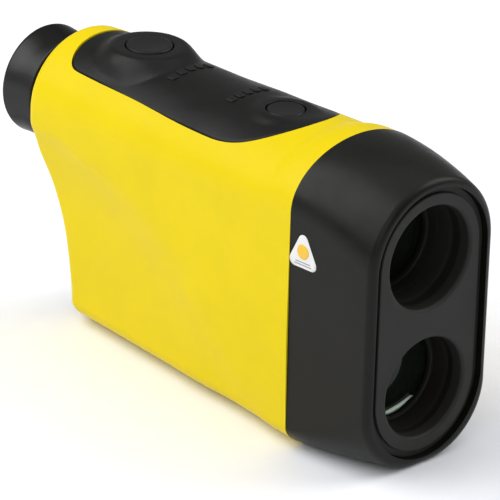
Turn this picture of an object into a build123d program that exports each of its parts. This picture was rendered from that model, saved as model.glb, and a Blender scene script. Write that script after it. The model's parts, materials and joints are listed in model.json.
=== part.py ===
from build123d import *
from math import cos, pi, radians, sin, sqrt
import os

# A handheld laser rangefinder, in millimetres.  +Z is up, the front (lens) end faces -Y, the
# eyepiece faces +Y, and the user's right-hand side is -X.  The origin is on the flat underside,
# midway between the front face and the eyecup's rim.

# ---------------------------------------------------------------- driving dimensions
LENGTH = 130.0
FACE_Y = -LENGTH / 2
RIM_Y = LENGTH / 2
SEAM_Y = -40.5          # parting line between the nose cover and the housing
TAIL_Y = 52.0           # rear end of the housing, round the eyepiece
WALL = 2.2
GAP = 0.15              # all round a piece let into another

SEAM_HALF = 20.0        # half width at the parting line
TAIL_HALF = 16.9        # half width at the rear end
SEAM_CROWN = 71.3       # height of the nose at the parting line
SEAM_ARCH = 13.6        # height of the rounded roof there

OPTIC_Z = 49.6          # axis of the telescope's objective
EYE_Z = 50.7            # axis of the eyepiece, which the prisms shift up a little
RECEIVER_Z = 18.4       # axis of the laser receiver
MEASURE_Y = 28.7        # centre of the rear button
MODE_Y = -17.0          # centre of the front button
BUTTON_TRAVEL = 0.8

FACE_HALF = 18.5        # half width of the front face, a slot shape
FACE_MID_Z = (OPTIC_Z + RECEIVER_Z) / 2
PLATE_HALF = 16.6       # half width of the recess that holds the face plate
PLATE_RECESS = 0.8
PLATE_THICK = 3.0
GROOVE_WIDE = 1.6       # shadow groove round the plate, inside the recess
GROOVE_DEEP = 0.8
BARREL_R = 13.3         # outer radius of the objective barrel
LIP = WALL / 2          # thickness of the lip where the nose laps into the housing
LIP_LONG = 2.0
FAR = 80.0              # beyond the object in any direction


# ---------------------------------------------------------------- helpers
def blend(t):
    """Smooth step from 0 to 1."""
    t = min(1.0, max(0.0, t))
    return t * t * (3 - 2 * t)


def between(table, x):
    """Smooth interpolation in a table of (x, value) pairs."""
    if x <= table[0][0]:
        return table[0][1]
    for (x0, v0), (x1, v1) in zip(table, table[1:]):
        if x <= x1:
            return v0 + (v1 - v0) * blend((x - x0) / (x1 - x0))
    return table[-1][1]


def disc_y(radius, y0, y1, z, x=0.0):
    """Solid cylinder along Y from y0 to y1."""
    return Pos(x, (y0 + y1) / 2, z) * Rot(90, 0, 0) * Cylinder(radius, y1 - y0)


def ring_y(outer, inner, y0, y1, z, x=0.0):
    """Tube along Y."""
    return disc_y(outer, y0, y1, z, x) - disc_y(inner, y0 - 1, y1 + 1, z, x)


def post(radius, z0, z1, x, y):
    """Solid cylinder along Z."""
    return Pos(x, y, (z0 + z1) / 2) * Cylinder(radius, z1 - z0)


def block(x0, x1, y0, y1, z0, z1):
    """Box between two corners."""
    return Pos((x0 + x1) / 2, (y0 + y1) / 2, (z0 + z1) / 2) * Box(x1 - x0, y1 - y0, z1 - z0)


def turned_y(points, z):
    """Solid of revolution round the axis along Y at height z, from (radius, y) corners."""
    corners = [(r, y) for r, y in points]
    face = make_face(Polyline(*corners, close=True))
    return Pos(0, 0, z) * revolve(face, Axis.Y)


def turned_z(points, x, y):
    """Solid of revolution round a vertical axis, from (radius, z) corners."""
    face = make_face(Plane.XZ * Polyline(*points, close=True))
    return Pos(x, y, 0) * revolve(face, Axis.Z)


def slot_y(half_width, half_height, y0, y1, z):
    """Upright slot-shaped prism along Y."""
    face = Plane.XZ.offset(-y0) * Rot(0, 0, 90) * SlotOverall(2 * half_height, 2 * half_width)
    return Pos(0, 0, z) * extrude(face, -(y1 - y0))


# ---------------------------------------------------------------- the outer form
CROWN = [(SEAM_Y, SEAM_CROWN), (-36.5, 71.2), (-30.5, 69.9), (-8.0, 69.4), (10.0, 68.9), (34.0, 68.8),
         (TAIL_Y, 67.8)]
REAR_WALL = [(4.5, 41.4), (12.0, 41.9), (24.0, 43.9), (33.0, 47.7), (41.0, 51.1), (48.0, TAIL_Y)]
CREASE = [(-34.0, 2.5), (-28.0, 8.0), (-20.0, 14.8), (-10.0, 24.0), (0.0, 32.8), (10.0, 39.2),
          (20.0, 42.8), (30.0, 46.0), (40.0, 47.6), (52.0, 48.0)]
CREASE_DEPTH = [(-34.0, 0.3), (-20.0, 0.9), (0.0, 1.6), (20.0, 2.6), (40.0, 3.1)]
CREASE_SOFT = 1.5       # half height of the rounded break at the crease
CREASE_FADE = 17.0      # height over which the hollow under the crease runs out
LEAN = 0.038            # inward lean of the flank below the crease
LEVELS_BELOW = (0.0, 0.25, 0.5, 0.7, 0.85, 0.95, 1.0)   # shares of the height from foot to crease
LEVELS_ABOVE = (0.08, 0.25, 0.5, 0.75, 1.0)             # shares of the height from crease to roof
FOOT_IN = 7.0           # from the flank to the edge of the flat sole
FOOT_BREAK = 1.6        # height of the break between sole and flank
FOOT_TOP = 5.6          # height where the flank starts
FOOT_DRAW = [(-40.5, 0.8), (-35.0, 1.3), (-28.0, 2.1), (-19.0, 1.7), (-5.0, 0.5), (20.0, 0.0)]
FOOT_DRAW_HIGH = 26.0   # height over which the flank draws in towards the foot
UNDERCUT = 0.1          # how far the sections reach below the flat that trims the underside
TAIL_CORNER = 3.5       # radius of the edge round the rear wall
QUARTER = 0.5523        # handle length of a cubic curve that follows a quarter ellipse


def linear(table, x):
    """Straight interpolation in a table of (x, value) pairs."""
    for (x0, v0), (x1, v1) in zip(table, table[1:]):
        if x <= x1:
            return v0 + (v1 - v0) * (x - x0) / (x1 - x0)
    return table[-1][1]


def quarter(start, corner, end):
    """Quarter-ellipse curve from start to end that would meet its tangents at corner."""
    start, corner, end = Vector(*start), Vector(*corner), Vector(*end)
    return Bezier(start, start + (corner - start) * QUARTER, end + (corner - end) * QUARTER, end)


def section(y, flank, low, high, foot_in, foot_break):
    """Closed cross-section at y: flat sole, rounded feet, flanks and an arched roof.

    flank is a list of (half width, height) from the foot up to the springing of the roof.  The
    foot runs from the sole, foot_in inside the flank, past a break at height foot_break.
    """
    (foot_half, foot_top), (roof_half, spring) = flank[0], flank[-1]
    edges = [Line((-foot_half + foot_in, y, low), (foot_half - foot_in, y, low))]
    for side in (1, -1):
        edges.append(quarter((side * (foot_half - foot_in), y, low), (side * foot_half, y, foot_break),
                             (side * foot_half, y, foot_top)))
        wall = [(side * x, y, z) for x, z in flank]
        edges.append(Line(*wall) if len(wall) == 2 else Spline(*wall, tangents=((0, 0, 1), (0, 0, 1))))
        edges.append(quarter((side * roof_half, y, spring), (side * roof_half, y, high), (0, y, high)))
    return make_face(edges)


def upper_half(y):
    """Half width of the flank above the crease."""
    return SEAM_HALF + (TAIL_HALF - SEAM_HALF) * (y - SEAM_Y) / (TAIL_Y - SEAM_Y)


def hollow(below):
    """Share of the crease's full depth at a height below it: a soft break, then a fading hollow."""
    start = max(0.0, below + CREASE_SOFT)
    reach = below if below > CREASE_SOFT else start ** 2 / (4 * CREASE_SOFT)
    return 1 - (1 - min(1.0, reach / CREASE_FADE)) ** 2


def flank_half(y, z):
    """Half width of the flank: full above the crease, hollowed and leaning inwards below it."""
    below = linear(CREASE, max(y, CREASE[0][0])) - z
    crease = linear(CREASE_DEPTH, max(y, CREASE[0][0])) * hollow(below) + LEAN * max(0.0, below)
    return upper_half(y) - crease - between(FOOT_DRAW, y) * max(0.0, 1 - z / FOOT_DRAW_HIGH)


def flank_levels(y, low, high):
    """Heights of the flank's points: one is always on the crease, so the loft follows it."""
    crease = min(max(linear(CREASE, max(y, CREASE[0][0])), low + 4.0), high - 3.0)
    levels = [low + (crease - low) * share for share in LEVELS_BELOW]
    return levels + [crease + (high - crease) * share for share in LEVELS_ABOVE]


def body_section(y, inset):
    high = between(CROWN, y) - inset
    rise = blend((y - SEAM_Y) / (TAIL_Y - SEAM_Y))
    arch = SEAM_ARCH + (TAIL_HALF - 0.5 - SEAM_ARCH) * rise - inset * 0.3
    low = inset + FOOT_TOP
    flank = [(flank_half(y, z) - inset, z) for z in flank_levels(y, low, high - arch)]
    return section(y, flank, inset - UNDERCUT, high, FOOT_IN, inset + FOOT_BREAK)


def side_profile(inset):
    """Prism across the body whose side view has the hollow rear wall and rounded heel."""
    wall = [(0, y - inset, z) for z, y in REAR_WALL]
    heel = wall[0][1]
    edges = [Line((0, -FAR, inset), (0, heel - TAIL_CORNER, inset))]
    edges.append(quarter((0, heel - TAIL_CORNER, inset), (0, heel, inset), wall[0]))
    edges.append(Spline(*wall, tangents=((0, 0, 1), (0, 0, 1))))
    edges.append(Polyline(wall[-1], (0, wall[-1][1], 90), (0, -FAR, 90), (0, -FAR, inset)))
    return Pos(-FAR / 2, 0, 0) * extrude(make_face(edges), FAR, dir=(1, 0, 0))


def body_form(inset):
    """Housing form shrunk by inset, before it is trimmed at the parting line."""
    stations = [-50.0, -44.0, SEAM_Y, -37.5, -34.5, -31.5, -28.5, -25.5, -18.0, -8.0]
    stations += [4.0, 16.0, 28.0, 40.0, TAIL_Y, 60.0]
    form = loft([body_section(y, inset) for y in stations]) & side_profile(inset)
    if inset > 0:
        return form
    rear = [e for e in form.edges() if e.center().Y > 39 and abs(e.tangent_at(0.5).X) < 0.99]
    roof = [e for e in form.edges() if e.center().Y > 51 and e.center().Z > 55]
    return fillet(rear + [e for e in roof if e not in rear], TAIL_CORNER - 0.7)


OUTER = body_form(0.0)
INNER = body_form(WALL)


# ---------------------------------------------------------------- top cover outline and hill
COVER_EDGE = [(0.0, -28.2), (5.6, -27.0), (8.3, -25.4), (10.7, -23.2), (13.6, -18.7), (15.1, -12.0),
              (15.1, -6.0), (14.4, 6.0), (13.6, 17.7), (13.1, 30.7), (12.7, 38.0), (11.8, 42.0),
              (8.8, 44.3), (4.5, 45.2), (0.0, 45.3)]
HILL_TOP_Z = 70.2
HILL_TOP_R = 8.6
HILL_FOOT_R = 14.5
MEASURE_R = 5.4
MODE_R = 4.35
MODE_TOP_Z = 69.6
MODE_RIM_Z = 69.6
DASH_ROWS = [(14.6, 2.7), (-4.5, 2.45)]  # y and pitch of each row of raised dashes
DASH_COUNT = 5
DASH_HALF = (1.0, 1.3)
DASH_RAISED = 0.3
BUTTON_GAP = 0.25
LEDGE = 1.4             # depth of the shelf the top cover sits on
SWITCH_BOARD_Z = 63.3   # upper face of the board under the buttons
BOARD_THICK = 1.0
BOARD_POSTS = [(0.0, 12.0), (-4.5, -4.0), (4.5, -4.0)]


def cover_prism(grow, z0, z1):
    """Upright prism of the top cover's outline, grown outwards all round."""
    right = []
    for x, y in COVER_EDGE:
        along = grow if y > 31 else -grow if y < -20 else 0
        right.append((x + (grow if x > 0 else 0), y + along))
    points = right + [(-x, y) for x, y in reversed(right) if x > 0]
    face = make_face(Spline(*[(x, y, z0) for x, y in points], periodic=True))
    return extrude(face, z1 - z0, dir=(0, 0, 1))


def hill(top_z, top_r, foot_r, base_z):
    """The swelling under the rear button: a flat top with a bell-shaped side."""
    steps = [i / 10 for i in range(11)]
    bell = [(top_r + (foot_r - top_r) * t, top_z - (top_z - base_z) * blend(t)) for t in steps]
    side = Spline(*[(r, 0, z) for r, z in bell], tangents=((1, 0, 0), (1, 0, 0)))
    below = base_z - 3
    corners = [(foot_r, 0, base_z), (foot_r, 0, below), (0, 0, below), (0, 0, top_z), (top_r, 0, top_z)]
    return Pos(0, MEASURE_Y, 0) * revolve(make_face([side, Polyline(*corners)]), Axis.Z)


def dashes():
    """Rows of blank upright bars in front of each button."""
    x_half, y_half = DASH_HALF
    bars = []
    for y, pitch in DASH_ROWS:
        for i in range(DASH_COUNT):
            x = pitch * (i - (DASH_COUNT - 1) / 2)
            bars.append(block(x - x_half, x + x_half, y - y_half, y + y_half, 60, 90))
    return Part() + bars


def make_top_cover():
    skin = OUTER & cover_prism(-GAP, 50, 90)
    skin += hill(HILL_TOP_Z, HILL_TOP_R, HILL_FOOT_R, 65.0) & cover_prism(-GAP, 50, 90)
    hollow = INNER + hill(HILL_TOP_Z - WALL, HILL_TOP_R - 0.4, HILL_FOOT_R - 2.6, 62.0)
    cover = skin - hollow
    for x, y in BOARD_POSTS:
        cover += post(1.9, SWITCH_BOARD_Z, between(CROWN, y) - 1.0, x, y)
        cover -= post(0.75, SWITCH_BOARD_Z - 1, SWITCH_BOARD_Z + 3.0, x, y)
    cover -= post(MEASURE_R + BUTTON_GAP, 55, 90, 0, MEASURE_Y)
    cover -= post(MODE_R + BUTTON_GAP, 55, 90, 0, MODE_Y)
    well = HILL_TOP_Z - 0.7
    cover -= turned_z([(0, well), (MEASURE_R + BUTTON_GAP, well), (MEASURE_R + 1.1, HILL_TOP_Z + 0.01),
                       (MEASURE_R + 1.1, 80), (0, 80)], 0, MEASURE_Y)
    well = MODE_RIM_Z - 0.9
    cover -= turned_z([(0, well), (MODE_R + BUTTON_GAP, well), (MODE_R + 1.3, MODE_RIM_Z + 0.01),
                       (MODE_R + 1.3, 80), (0, 80)], 0, MODE_Y)
    return cover + ((dashes() & body_form(-DASH_RAISED)) - body_form(0.5))


def button(radius, top, flange_radius, flange_top, foot, y):
    """Round key with a shallow dish on top and a flange that keeps it under the cover."""
    key = post(radius, foot, top, 0, y)
    key = fillet(key.edges().filter_by(GeomType.CIRCLE).group_by(Axis.Z)[-1], 0.6)
    key += post(flange_radius, foot + 0.25, flange_top, 0, y)
    dish_r = 40.0
    return key - Pos(0, y, top + dish_r - 0.3) * Sphere(dish_r)


def make_measure_button():
    return button(MEASURE_R, HILL_TOP_Z + 0.3, MEASURE_R + 1.2, HILL_TOP_Z - WALL - 0.1, 66.5, MEASURE_Y)


def make_mode_button():
    return button(MODE_R, MODE_TOP_Z, MODE_R + 1.0, MODE_TOP_Z - 3.05, 65.75, MODE_Y)


def make_switch_board():
    board = block(-7, 7, -23, 36, SWITCH_BOARD_Z - BOARD_THICK, SWITCH_BOARD_Z)
    for x, y in BOARD_POSTS:
        board -= post(1.1, 55, 70, x, y)
    return board


def tact_switch(y, height, plunger_top):
    """Low tactile switch on the switch board, with its round plunger."""
    top = SWITCH_BOARD_Z + height
    body = block(-3, 3, y - 3, y + 3, SWITCH_BOARD_Z, top)
    body += post(2.3, top, top + 0.2, 0, y)
    return body + post(1.4, top + 0.2, plunger_top, 0, y)


def small_screw(thread_r, head_r, length, head):
    """Pan-head screw along -Z from the origin, with its head above and a cross slot."""
    screw = Pos(0, 0, -length / 2) * Cylinder(thread_r, length)
    screw += Pos(0, 0, head / 2) * Cylinder(head_r, head)
    for turn in (0, 90):
        screw -= Pos(0, 0, head) * Rot(0, 0, turn) * Box(head_r * 1.2, 0.35, head)
    return screw


def make_board_screws():
    base = Rot(180, 0, 0) * small_screw(0.75, 1.5, 3.6, 0.8)
    return Compound(children=[Pos(x, y, SWITCH_BOARD_Z - BOARD_THICK) * base for x, y in BOARD_POSTS])


# ---------------------------------------------------------------- rear door
DOOR_HALF = 10.0
DOOR_LOW = 5.6
DOOR_HIGH = 27.0
HINGE_Y = 41.6
HINGE_Z = 3.4
KNUCKLE_R = 1.5
PIN_R = 0.6
PIN_PLAY = 0.04
DOOR_SPAN = 5.5         # half length of the door's own knuckle
EAR = 3.0               # length of each housing knuckle
BATTERY_Z = 15.4
BATTERY_R = 7.8
BATTERY_FRONT = 7.0
BATTERY_LONG = 27.0


def door_prism(grow, y0, y1):
    """Rounded-rectangle prism along Y, for the door and its opening."""
    height = DOOR_HIGH - DOOR_LOW
    face = Plane.XZ.offset(-y0) * RectangleRounded(2 * (DOOR_HALF + grow), height + 2 * grow, 3.0 + grow)
    return Pos(0, 0, (DOOR_HIGH + DOOR_LOW) / 2) * extrude(face, -(y1 - y0))


def rod_x(radius, x0, x1, y, z):
    """Solid cylinder along X."""
    return Pos((x0 + x1) / 2, y, z) * Rot(0, 90, 0) * Cylinder(radius, x1 - x0)


def knuckle(x0, x1):
    return rod_x(KNUCKLE_R, x0, x1, HINGE_Y, HINGE_Z)


def pin_hole():
    return rod_x(PIN_R + PIN_PLAY, -30, 30, HINGE_Y, HINGE_Z)


def make_battery_door():
    door = (OUTER - INNER) & door_prism(-GAP, 30, 60)
    door += block(-DOOR_SPAN, DOOR_SPAN, HINGE_Y - 1.5, HINGE_Y - 0.1, HINGE_Z, DOOR_LOW + 2.5)
    door += knuckle(-DOOR_SPAN, DOOR_SPAN)
    door -= pin_hole()
    return door - rod_x(4.0, -5.5, 5.5, 47.6, DOOR_HIGH - 4.5)


def make_door_contact():
    pad = block(-3.5, 3.5, BATTERY_FRONT + BATTERY_LONG + 0.4, 40.6, BATTERY_Z - 3, BATTERY_Z + 3) & INNER
    return pad


def make_hinge_pin():
    return rod_x(PIN_R, -DOOR_SPAN - EAR - 0.2, DOOR_SPAN + EAR + 0.2, HINGE_Y, HINGE_Z)


def make_battery():
    cell = disc_y(BATTERY_R, BATTERY_FRONT + 1.6, BATTERY_FRONT + BATTERY_LONG, BATTERY_Z)
    cell = fillet(cell.edges().filter_by(GeomType.CIRCLE), 0.8)
    return cell + disc_y(3.2, BATTERY_FRONT, BATTERY_FRONT + 2.0, BATTERY_Z)


def make_battery_holder():
    front, back = BATTERY_FRONT - 3.0, BATTERY_FRONT + BATTERY_LONG + 1.0
    outer = BATTERY_R + 1.3
    tube = ring_y(outer, BATTERY_R + 0.2, front, back, BATTERY_Z)
    tube += disc_y(outer, front, front + 1.2, BATTERY_Z)
    foot = block(-4, 4, front, back - 2.0, WALL, BATTERY_Z)
    return tube + (foot - disc_y(outer - 0.3, -FAR, FAR, BATTERY_Z))


def make_battery_spring():
    """Coil spring that presses on the cell's front end."""
    turns = 3.2
    length = 1.3
    path = Helix(pitch=length / turns, height=length, radius=3.0)
    start = path @ 0
    wire = sweep(Plane(origin=start, z_dir=path % 0) * Circle(0.17), path=path)
    return Pos(0, BATTERY_FRONT - 0.25, BATTERY_Z) * Rot(90, 0, 0) * wire


# ---------------------------------------------------------------- side display
SCREEN_Y = -8.0
SCREEN_Z = 45.0
SCREEN_LONG = 30.0
SCREEN_HIGH = 14.0
WINDOW = 1.4            # thickness of the display window
PANEL_X = 14.2          # back of the liquid-crystal panel


def screen_prism(grow, x0, x1):
    """Rounded-rectangle prism along X on the left flank."""
    outline = RectangleRounded(SCREEN_LONG + 2 * grow, SCREEN_HIGH + 2 * grow, 3.0 + grow)
    return Pos(0, SCREEN_Y, SCREEN_Z) * extrude(Plane.YZ.offset(x0) * outline, x1 - x0)


def make_display_window():
    return (OUTER - body_form(WINDOW)) & screen_prism(-GAP, 10, 30)


def screen_block(x0, x1, y_half, z_half):
    return block(x0, x1, SCREEN_Y - y_half, SCREEN_Y + y_half, SCREEN_Z - z_half, SCREEN_Z + z_half)


def make_display_panel():
    return screen_block(PANEL_X, PANEL_X + 2.0, 13.5, 6.0)


def make_display_tray():
    tray = screen_block(PANEL_X - 1.4, PANEL_X + 1.2, 14.8, 7.2)
    return tray - screen_block(PANEL_X, PANEL_X + 3, 13.6, 6.1)


# ---------------------------------------------------------------- housing
STRAP_X = 19.6
STRAP_Y = 38.0
STRAP_Z = 47.0
STRAP_R = 1.5
FRAME_SCREWS = [(-12.5, 61.0), (12.5, 61.0), (-12.8, 6.6), (12.8, 6.6)]
NOSE_SCREWS = [(-11.5, FACE_MID_Z), (11.5, FACE_MID_Z)]
BOARD_X = 11.0            # inner face of the main board
MAIN_BOARD_THICK = 1.2
BOARD_BOSSES = [(-26.0, 12.0), (-26.0, 31.0), (10.0, 31.0)]


def front_boss(x, z):
    """Screw boss at the front of the housing, webbed to the flank."""
    side = 1 if x > 0 else -1
    near, far = sorted((x, x + side * 6))
    return (disc_y(2.3, SEAM_Y, -28.0, z, x) + block(near, far, -37.8, -28.0, z - 1.0, z + 1.0)) & OUTER


def hinge_ears():
    ears = []
    for x0 in (-DOOR_SPAN - GAP - EAR, DOOR_SPAN + GAP):
        root = block(x0, x0 + EAR, HINGE_Y - 1.8, HINGE_Y, HINGE_Z - 1.3, HINGE_Z + 1.3)
        ears.append(knuckle(x0, x0 + EAR) + root)
    return ears


def make_main_housing():
    body = (OUTER & block(-FAR, FAR, SEAM_Y, FAR, -FAR, 2 * FAR)) - INNER
    body -= block(-FAR, FAR, SEAM_Y - 10, SEAM_Y + LIP_LONG, -FAR, 2 * FAR) & body_form(LIP)
    shelf = (cover_prism(0.5, 52, 90) - cover_prism(-LEDGE, 50, 92)) & (INNER - body_form(WALL + 1.2))
    body -= cover_prism(0.0, 52, 90)
    body += shelf
    body -= disc_y(12.7, 40, 60, EYE_Z)
    body -= door_prism(0.0, 30, 60)
    span = DOOR_SPAN + GAP
    body -= rod_x(KNUCKLE_R + 0.3, -span, span, HINGE_Y, HINGE_Z)
    body -= block(-span, span, HINGE_Y - 1.8, 60, HINGE_Z, DOOR_LOW + 0.5)
    for ear in hinge_ears():
        body += ear
    body -= rod_x(PIN_R + PIN_PLAY, -span - EAR - 0.4, span + EAR + 0.4, HINGE_Y, HINGE_Z)
    body -= screen_prism(0.0, 10, 30)
    for x, z in FRAME_SCREWS:
        body += front_boss(x, z)
        body -= disc_y(0.9, SEAM_Y - 1, SEAM_Y + 9, z, x)
    for y, z in BOARD_BOSSES:
        body += rod_x(2.2, BOARD_X + MAIN_BOARD_THICK, 17.5, y, z) & OUTER
        body -= rod_x(0.75, 5, 16.0, y, z)
    lug = Pos(STRAP_X, STRAP_Y, STRAP_Z) * Cylinder(3.1, 4.0)
    lug += block(15.8, STRAP_X, STRAP_Y - 3.1, STRAP_Y + 3.1, STRAP_Z - 2, STRAP_Z + 2)
    body += lug - INNER
    body -= post(STRAP_R, STRAP_Z - 5, STRAP_Z + 5, STRAP_X, STRAP_Y)
    return body


# ---------------------------------------------------------------- nose
def nose_section(y, inset):
    """Nose cross-section, changing from the housing's section to the slot-shaped front face."""
    t = (SEAM_Y - y) / (SEAM_Y - FACE_Y)
    half = SEAM_HALF + (FACE_HALF - SEAM_HALF) * t - inset
    high = SEAM_CROWN + (2 * FACE_MID_Z - SEAM_CROWN) * t ** 2.2 - inset
    arch = SEAM_ARCH + (FACE_HALF - SEAM_ARCH) * t ** 1.5 - inset * 0.5
    rounding = t ** 1.5
    foot_in = FOOT_IN + (FACE_HALF - 1.5 - FOOT_IN) * rounding - inset * 0.5
    foot_top = FOOT_TOP + (FACE_HALF - 1.5 - FOOT_TOP) * rounding - inset * 0.5
    foot_half = half - FOOT_DRAW[0][1] * (1 - t)
    foot_break = inset + FOOT_BREAK * (1 - rounding)
    return section(y, [(foot_half, inset + foot_top), (half, high - arch)], inset, high, foot_in, foot_break)


def nose_form(inset, front):
    return loft([nose_section(front + (SEAM_Y - front) * i / 5, inset) for i in range(6)])


def make_nose_cover():
    outer = nose_form(0.0, FACE_Y)
    front_edges = outer.faces().sort_by(Axis.Y)[0].edges()
    outer = fillet(front_edges, 1.8)
    nose = outer - nose_form(WALL, -59.0)
    tall = PLATE_HALF + OPTIC_Z - FACE_MID_Z
    nose -= slot_y(PLATE_HALF, tall, FACE_Y - 1, FACE_Y + PLATE_RECESS + PLATE_THICK, FACE_MID_Z)
    for z in (OPTIC_Z, RECEIVER_Z):
        nose -= disc_y(BARREL_R + GAP, FACE_Y, -50.0, z)
    lip = block(-FAR, FAR, SEAM_Y - 1.0, SEAM_Y + LIP_LONG - 0.1, -FAR, 2 * FAR) & body_form(LIP + 0.1)
    lip -= body_form(WALL + 0.5)
    for x, z in FRAME_SCREWS:
        lip -= disc_y(2.6, -50, -30, z, x)
    nose += lip
    for x, z in NOSE_SCREWS:
        nose -= disc_y(1.1, -63, -50, z, x)
    return nose


def make_lens_faceplate():
    top = PLATE_HALF - GAP + OPTIC_Z - FACE_MID_Z
    front = FACE_Y + PLATE_RECESS
    land = top + GAP - GROOVE_WIDE
    plate = slot_y(PLATE_HALF - GROOVE_WIDE, land, front, front + 2 * GROOVE_DEEP, FACE_MID_Z)
    plate = fillet(plate.faces().sort_by(Axis.Y)[0].edges(), 0.3)
    plate += slot_y(PLATE_HALF - GAP, top, front + GROOVE_DEEP, front + PLATE_THICK, FACE_MID_Z)
    plate -= disc_y(12.0, -70, -50, OPTIC_Z)
    plate -= disc_y(11.65, -70, -50, RECEIVER_Z)
    circles = plate.edges().filter_by(GeomType.CIRCLE)
    plate = fillet([e for e in circles if e.center().Y < front + 0.1 and 70 < e.length < 80], 0.9)
    for x, z in NOSE_SCREWS:
        plate -= disc_y(2.2, front + 1.0, -50, z, x)
    return plate


def make_nose_screws():
    base = Rot(90, 0, 0) * small_screw(0.95, 1.9, 6.0, 0.9)
    head_y = FACE_Y + PLATE_RECESS + PLATE_THICK
    return Compound(children=[Pos(x, head_y, z) * base for x, z in NOSE_SCREWS])


def make_telescope_frame():
    """Cast bulkhead that carries both barrels, with a shelf under the prisms."""
    frame = loft([nose_section(y, WALL + 0.8) for y in (-43.6, -42.2, -40.6)])
    for x, z in NOSE_SCREWS:
        frame += disc_y(2.6, -58.8, -43.0, z, x)
        frame -= disc_y(0.97, -60, -50, z, x)
    frame += block(-9.5, 9.5, -42, 15, 34.6, 36.6)
    for x in (-9.5, 7.5):
        frame += block(x, x + 2, -42, 15, 33.0, 36.6)
    frame -= disc_y(12.75, -70, 0, OPTIC_Z)
    frame -= disc_y(12.35, -70, -37, RECEIVER_Z)
    frame -= post(LASER_R + 0.05, 30, 40, 0, LASER_Y)
    for x, z in FRAME_SCREWS:
        frame -= disc_y(1.1, -50, -35, z, x)
    return frame


def make_frame_screws():
    base = Rot(90, 0, 0) * small_screw(0.85, 1.7, 8.0, 0.9)
    return Compound(children=[Pos(x, -43.6, z) * base for x, z in FRAME_SCREWS])


def make_laser_label():
    corners = [(-42.0, 47.3), (-47.2, 47.3), (-44.6, 52.4)]
    flat = Plane.YZ * offset(make_face(Polyline(*corners, close=True)), 1.4)
    blank = extrude(flat, 30, dir=(-1, 0, 0))
    skin = loft([nose_section(y, -0.12) for y in (-50.0, -46.0, -43.0, SEAM_Y)])
    return (skin & blank) - loft([nose_section(y, 0.0) for y in (-50.0, -46.0, -43.0, SEAM_Y)])


# ---------------------------------------------------------------- objective and receiver optics
def lens(radius, front_y, edge, front_bulge, rear_bulge, z):
    """Round lens with its edge from front_y, and spherical faces bulging by the given amounts."""
    body = disc_y(radius, front_y, front_y + edge, z)
    for y, bulge, outward in ((front_y, front_bulge, -1), (front_y + edge, rear_bulge, 1)):
        if bulge == 0:
            continue
        ball_r = (radius ** 2 + bulge ** 2) / (2 * abs(bulge))
        centre = y - outward * (ball_r - abs(bulge)) if bulge > 0 else y + outward * (ball_r - abs(bulge))
        ball = Pos(0, centre, z) * Sphere(ball_r)
        if bulge > 0:
            y0, y1 = sorted((y, y + outward * (bulge + 1)))
            body += ball & disc_y(radius, y0, y1, z)
        else:
            body -= ball
    return body


OBJECTIVE_Y = -50.0
RECEIVER_LENS_Y = -53.5
LENS_R = 11.3
BARREL_FRONT = -61.2
FLANGE_BACK = -43.7


def retainer(inner, y0, y1, z):
    """Threaded ring that holds a lens from the front."""
    return ring_y(LENS_R + 0.05, inner, y0, y1, z)


def make_objective_barrel():
    profile = [(12.3, BARREL_FRONT), (12.3, -57.4), (11.8, -57.4), (11.8, -54.4), (11.4, -54.4),
               (11.4, -44.6), (10.2, -44.6), (10.2, -43.0), (11.3, -43.0), (11.3, -28.0), (9.4, -28.0),
               (9.4, -26.6), (12.6, -26.6), (12.6, FLANGE_BACK), (BARREL_R, FLANGE_BACK),
               (BARREL_R, BARREL_FRONT)]
    return turned_y(profile, OPTIC_Z)


def make_objective_retainer():
    return retainer(10.4, OBJECTIVE_Y - 2.1, OBJECTIVE_Y - 0.25, OPTIC_Z)


def make_objective_crown():
    return lens(LENS_R, OBJECTIVE_Y, 2.2, 1.1, 1.0, OPTIC_Z)


def make_objective_flint():
    return lens(LENS_R, OBJECTIVE_Y + 2.25, 3.0, -1.05, 0.3, OPTIC_Z)


def make_receiver_barrel():
    outer = BARREL_R - 0.4
    profile = [(11.8, BARREL_FRONT), (11.8, -58.4), (11.4, -58.4), (11.4, -49.4), (10.2, -49.4),
               (10.2, -47.8), (11.0, -47.8), (11.0, -41.0), (4.0, -23.2), (4.0, -19.0), (7.5, -19.0),
               (7.5, -22.0), (12.2, -37.0), (12.2, FLANGE_BACK), (outer, FLANGE_BACK),
               (outer, BARREL_FRONT)]
    return turned_y(profile, RECEIVER_Z)


def make_receiver_retainer():
    return retainer(10.5, RECEIVER_LENS_Y - 1.9, RECEIVER_LENS_Y - 0.3, RECEIVER_Z)


def make_receiver_lens():
    return lens(LENS_R, RECEIVER_LENS_Y, 2.4, 1.6, 1.5, RECEIVER_Z)


def make_photodiode():
    can = disc_y(2.7, -20.6, -17.4, RECEIVER_Z)
    return can + disc_y(3.6, -18.2, -17.4, RECEIVER_Z)


def make_receiver_board():
    return block(-9, 9, -17.4, -16.2, RECEIVER_Z - 9, RECEIVER_Z + 9)


def make_receiver_shield():
    outer = block(-8, 8, -16.2, -10.0, RECEIVER_Z - 8, RECEIVER_Z + 8)
    return outer - block(-7.6, 7.6, -17, -10.4, RECEIVER_Z - 7.6, RECEIVER_Z + 7.6)


# ---------------------------------------------------------------- prisms, laser and viewfinder display
PRISM_HALF = 8.5
PRISM_FRONT = -13.0
PRISM_BACK = 12.0
LASER_R = 3.4
LASER_Y = -6.0


def prism_block(outline):
    face = make_face(Polyline(*[(-PRISM_HALF, y, OPTIC_Z + z) for y, z in outline], close=True))
    return extrude(face, 2 * PRISM_HALF, dir=(1, 0, 0))


def make_beam_splitter_prism():
    return prism_block([(PRISM_FRONT, -8.6), (PRISM_FRONT, 8.6), (-2.0, 8.6), (5.5, -8.6)])


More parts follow.
